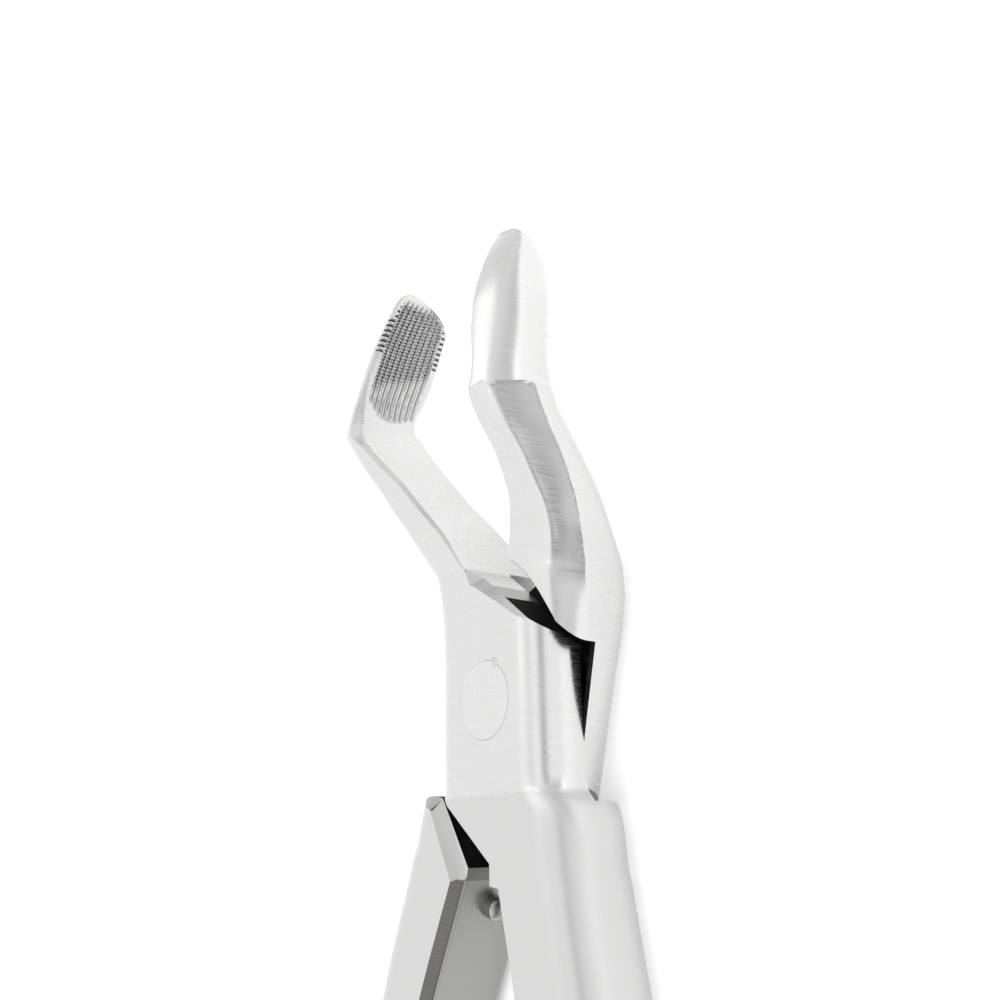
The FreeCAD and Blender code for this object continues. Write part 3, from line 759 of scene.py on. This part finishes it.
class Nodes:
    """A short way to write node trees, of a material or of the world."""

    def __init__(self, name, owner=None):
        self.material = owner or bpy.data.materials.new(name)
        self.material.use_nodes = True
        self.tree = self.material.node_tree
        self.shader = self.tree.nodes["Background" if owner else "Principled BSDF"]

    def put(self, value, socket):
        """Links a node's output to the socket, or sets the socket to a plain value."""
        if isinstance(value, bpy.types.NodeSocket):
            self.tree.links.new(value, socket)
        else:
            socket.default_value = value

    def add(self, kind, inputs=None, out=0, **settings):
        """A new node with its settings and inputs; gives back one of its outputs."""
        node = self.tree.nodes.new(kind)
        for key, value in settings.items():
            setattr(node, key, value)
        for key, value in (inputs or {}).items():
            self.put(value, node.inputs[key])
        return node.outputs[out]

    def split(self, vector):
        """The x, y and z outputs of a vector."""
        node = self.tree.nodes.new("ShaderNodeSeparateXYZ")
        self.put(vector, node.inputs[0])
        return node.outputs

    def math(self, operation, a, b=0.0):
        return self.add("ShaderNodeMath", {0: a, 1: b}, operation=operation)

    def fit(self, value, low, high, to_low=0.0, to_high=1.0):
        return self.add("ShaderNodeMapRange", {
            "Value": value, "From Min": low, "From Max": high, "To Min": to_low, "To Max": to_high},
            interpolation_type="SMOOTHSTEP")

    def noise(self, vector, scale, detail=2.0, rough=0.5):
        return self.add("ShaderNodeTexNoise", {
            "Vector": vector, "Scale": scale, "Detail": detail, "Roughness": rough})

    def stretch(self, vector, scale):
        return self.add("ShaderNodeMapping", {"Vector": vector, "Scale": scale})

    def blend(self, factor, a, b):
        """a where the factor is 0, b where it is 1, for plain numbers."""
        node = self.tree.nodes.new("ShaderNodeMix")
        node.data_type = "FLOAT"
        self.put(factor, node.inputs[0])
        self.put(a, node.inputs[2])
        self.put(b, node.inputs[3])
        return node.outputs[0]

    def blend_colour(self, factor, a, b):
        """a where the factor is 0, b where it is 1, for colours."""
        node = self.tree.nodes.new("ShaderNodeMix")
        node.data_type = "RGBA"
        self.put(factor, node.inputs[0])
        self.put(a, node.inputs[6])
        self.put(b, node.inputs[7])
        return node.outputs[2]

    def colour(self, factor, dark, light):
        """A colour between dark and light."""
        ramp = self.tree.nodes.new("ShaderNodeValToRGB")
        ramp.color_ramp.elements[0].color = (*dark, 1)
        ramp.color_ramp.elements[1].color = (*light, 1)
        self.put(factor, ramp.inputs[0])
        return ramp.outputs[0]


PER_MM = (1000, 1000, 1000)      # turns object coordinates into millimetres
MATT_LINE = -9.6                 # where the halves turn from brushed to blasted, along the half
ALL_MATT = 200.0                 # a matt line past every tip
ALL_BRUSHED = -200.0


def steel(name, degrees, matt_line, tone=(0.545, 0.545, 0.542)):
    """Brushed steel above the matt line and blasted steel below it, with strokes across the half."""
    n = Nodes(name)
    place = n.add("ShaderNodeTexCoord", out=3)
    place = n.add("ShaderNodeMapping", {"Vector": place, "Rotation": (0, 0, -math.radians(degrees)),
                                        "Scale": PER_MM})
    along = n.math("ADD", n.split(place)[1], n.fit(n.noise(place, 1.5), 0.3, 0.7, -0.12, 0.12))
    brushed = n.fit(along, matt_line - 0.12, matt_line + 0.12)
    strokes = n.noise(n.stretch(place, (0.25, 13.0, 0.4)), 1.0, 3.0, 0.6)
    long_strokes = n.noise(n.stretch(place, (0.06, 4.0, 0.1)), 1.0, 2.0)
    grain = n.noise(place, 9.0, 3.0, 0.7)
    clouds = n.noise(place, 0.12, 2.0)

    # roughness
    patches = n.fit(clouds, 0.3, 0.7, -0.03, 0.03)
    rough_brushed = n.math("ADD", n.fit(strokes, 0.3, 0.7, 0.22, 0.34), patches)
    rough_blasted = n.fit(grain, 0.3, 0.7, 0.34, 0.44)
    n.put(n.blend(brushed, rough_blasted, rough_brushed), n.shader.inputs["Roughness"])

    # colour: darker in the strokes and on blasted steel, with painted shade in the bottoms of the cuts
    all_strokes = n.math("ADD", n.math("MULTIPLY", strokes, 0.6), n.math("MULTIPLY", long_strokes, 0.4))
    texture = n.blend(brushed, grain, all_strokes)
    painted_cavity_shade = n.add("ShaderNodeAttribute", out=2, attribute_name="painted_cavity_shade")
    shine = n.math("SUBTRACT", n.fit(texture, 0.3, 0.7, 0.955, 1.0), n.math("MULTIPLY", painted_cavity_shade, 0.93))
    shine = n.math("SUBTRACT", shine, n.fit(brushed, 0.0, 1.0, 0.08, 0.0))
    light = tuple(c * 1.06 for c in tone)
    n.put(n.colour(shine, (0.012, 0.012, 0.012), light), n.shader.inputs["Base Color"])

    bump = n.add("ShaderNodeBump", {"Strength": 0.05, "Distance": 0.00001, "Height": texture})
    n.put(bump, n.shader.inputs["Normal"])
    n.shader.inputs["Metallic"].default_value = 1.0
    return n.material


def painted_gap_shade(name):
    """Near-black painted shade, in patches, on the faces inside the joint's gaps."""
    n = Nodes(name)
    place = n.stretch(n.add("ShaderNodeTexCoord", out=3), PER_MM)
    patches = n.noise(place, 0.8, 4.0, 0.7)
    n.put(n.colour(n.fit(patches, 0.45, 0.8), (0.003, 0.003, 0.003), (0.03, 0.028, 0.027)),
          n.shader.inputs["Base Color"])
    n.put(n.fit(patches, 0.3, 0.7, 0.7, 0.95), n.shader.inputs["Roughness"])
    n.shader.inputs["Specular IOR Level"].default_value = 0.12
    return n.material


def paper(name):
    """Pale matt paper that glows a little, so that shadows on it stay light."""
    n = Nodes(name)
    place = n.add("ShaderNodeTexCoord", out=3)
    n.put(n.colour(n.noise(place, 6.0), (0.93, 0.93, 0.93), (0.96, 0.96, 0.96)),
          n.shader.inputs["Base Color"])
    n.shader.inputs["Roughness"].default_value = 0.8
    n.shader.inputs["Emission Color"].default_value = (1, 1, 1, 1)
    n.shader.inputs["Emission Strength"].default_value = 0.35
    n.shader.inputs["Specular IOR Level"].default_value = 0.2
    return n.material


front_steel = steel("front_brushed_steel", FRONT_OPEN, MATT_LINE)
rear_steel = steel("rear_brushed_steel", REAR_OPEN, MATT_LINE)
screw_steel = steel("screw_brushed_steel", FRONT_OPEN, ALL_BRUSHED, (0.56, 0.56, 0.557))
pin_steel = steel("pin_turned_steel", REAR_OPEN + 90, ALL_BRUSHED, (0.34, 0.34, 0.33))
lock_steel = steel("lock_pin_ground_steel", FRONT_OPEN + 60, ALL_BRUSHED, (0.49, 0.49, 0.485))
# near-black painted shade for the faces inside the joint's gaps
gap_shade = painted_gap_shade("joint_gap_painted_shade")
# much darker steel as painted shade on the sickle bevel and the handles' chamfers
shaded_chamfer_steel = steel("chamfer_steel_painted_shade", REAR_OPEN, ALL_BRUSHED, (0.11, 0.108, 0.105))
# darker steel as painted shade on the handles' inner faces, part of the shoulder wall and the heel facet
shaded_inner_steel = steel("inner_face_steel_painted_shade", REAR_OPEN, ALL_MATT, (0.36, 0.36, 0.355))
for piece, own_steel in ((front, front_steel), (rear, rear_steel)):
    slots = [face.material_index for face in piece.data.polygons]
    piece.data.materials.clear()
    for material in (own_steel, gap_shade, shaded_chamfer_steel, shaded_inner_steel):
        piece.data.materials.append(material)
    piece.data.polygons.foreach_set("material_index", slots)
for node, material in (("pivot_screw", screw_steel), ("lock_pin", lock_steel), ("stop_pin", pin_steel)):
    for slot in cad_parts[node].material_slots:
        slot.material = material


# ---------------------------------------------------------------- floor, light and camera

def lamp(name, place, size, power):
    """A square soft light, in metres and watts, that points at the pivot."""
    data = bpy.data.lights.new(name, "AREA")
    data.shape = "RECTANGLE"
    data.size = size
    data.size_y = size
    data.energy = power
    lamp_object = bpy.data.objects.new(name, data)
    bpy.context.scene.collection.objects.link(lamp_object)
    lamp_object.location = place
    lamp_object.rotation_euler = (-Vector(place)).to_track_quat("-Z", "Y").to_euler()


FLOOR_HALF = 3.0
FLOOR_LEVEL = -0.00005
floor_mesh = bpy.data.meshes.new("floor")
floor_mesh.from_pydata([(x * FLOOR_HALF, y * FLOOR_HALF, FLOOR_LEVEL)
                        for x, y in ((-1, -1), (1, -1), (1, 1), (-1, 1))], [], [(0, 1, 2, 3)])
floor = bpy.data.objects.new("floor", floor_mesh)
bpy.context.scene.collection.objects.link(floor)
floor_mesh.materials.append(paper("pale_floor"))

# the studio: soft bright and grey bands round the object's long axis, which its steel reflects
world = bpy.data.worlds.new("studio")
bpy.context.scene.world = world
world.use_nodes = True
sky = Nodes("studio", world)
direction = sky.split(sky.add("ShaderNodeTexCoord"))
round_axis = sky.math("DEGREES", sky.math("ARCTAN2", direction[2], direction[0]))
around_axis = sky.math("DIVIDE", sky.math("ADD", round_axis, 180.0), 360.0)


def studio_bands(tones):
    """Brightness of the studio round the long axis: 0 degrees is the right horizon, 90 straight up."""
    ramp = sky.tree.nodes.new("ShaderNodeValToRGB")
    sky.put(around_axis, ramp.inputs[0])
    stops = ramp.color_ramp.elements
    for degrees, _ in tones[1:-1]:
        stops.new((degrees + 180) / 360)
    for stop, (degrees, tone) in zip(stops, tones):
        stop.position = (degrees + 180) / 360
        stop.color = (tone, tone, tone, 1)
    return ramp.outputs[0]


level_light = studio_bands([(-180, 1.4), (0, 1.4), (28, 1.5), (42, 1.5), (47, 0.6), (58, 0.6),
                            (64, 1.55), (78, 1.5), (90, 1.05), (104, 1.4), (143, 1.35), (180, 1.4)])
tip_light = studio_bands([(-180, 1.2), (-40, 0.95), (-17, 0.85), (-10, 2.4), (7, 2.4), (12, 0.78),
                          (28, 0.8), (44, 1.0), (70, 1.18), (100, 1.05), (180, 1.1)])
foot_light = studio_bands([(-180, 1.3), (-34, 1.3), (-10, 1.5), (-2, 0.42), (54, 0.44), (62, 1.5),
                           (80, 1.45), (180, 1.35)])
light = sky.blend_colour(sky.fit(direction[1], 0.36, 0.5), level_light, tip_light)
light = sky.blend_colour(sky.fit(direction[1], 0.1, -0.36), light, foot_light)

# behind the object the studio is plain white
camera_sees = sky.add("ShaderNodeLightPath")
light = sky.blend_colour(camera_sees, light, (1.0, 1.0, 1.0, 1.0))
sky.put(light, sky.shader.inputs["Color"])
sky.shader.inputs["Strength"].default_value = 1.0

lamp("key", (-0.3, 0.6, 0.8), 0.8, 1.6)
lamp("fill", (0.7, -0.6, 0.6), 0.8, 1.2)

bpy.context.scene.view_settings.view_transform = "Standard"

# the camera looks down at the joint from the right
SIDE_ANGLE = math.radians(53.2)      # how far the camera is swung from straight above to the right
RISE_ANGLE = math.radians(-14.9)     # how far it is raised towards the tips; below 0 is towards the handles
ROLL = math.radians(-2.2)
DISTANCE = 108
SHIFT_RIGHT = 1.675
SHIFT_UP = 20.94
long_axis = Vector((0, 1, 0))
across = Vector((math.sin(SIDE_ANGLE), 0, math.cos(SIDE_ANGLE)))
back = across * math.cos(RISE_ANGLE) + long_axis * math.sin(RISE_ANGLE)
up = long_axis * math.cos(RISE_ANGLE) - across * math.sin(RISE_ANGLE)
right = up.cross(back)
camera_up = up * math.cos(ROLL) + right * math.sin(ROLL)
camera_right = right * math.cos(ROLL) - up * math.sin(ROLL)
stand = Vector((0, 0, THICK)) + back * DISTANCE + camera_right * SHIFT_RIGHT + camera_up * SHIFT_UP
camera_data = bpy.data.cameras.new("camera")
camera_data.sensor_width = 36.0
camera_data.lens = 37.13
camera_data.clip_start = 0.005
camera = bpy.data.objects.new("camera", camera_data)
bpy.context.scene.collection.objects.link(camera)
turned = Matrix((camera_right, camera_up, back)).transposed().to_4x4()
camera.matrix_world = Matrix.Translation(stand * MM) @ turned
bpy.context.scene.camera = camera
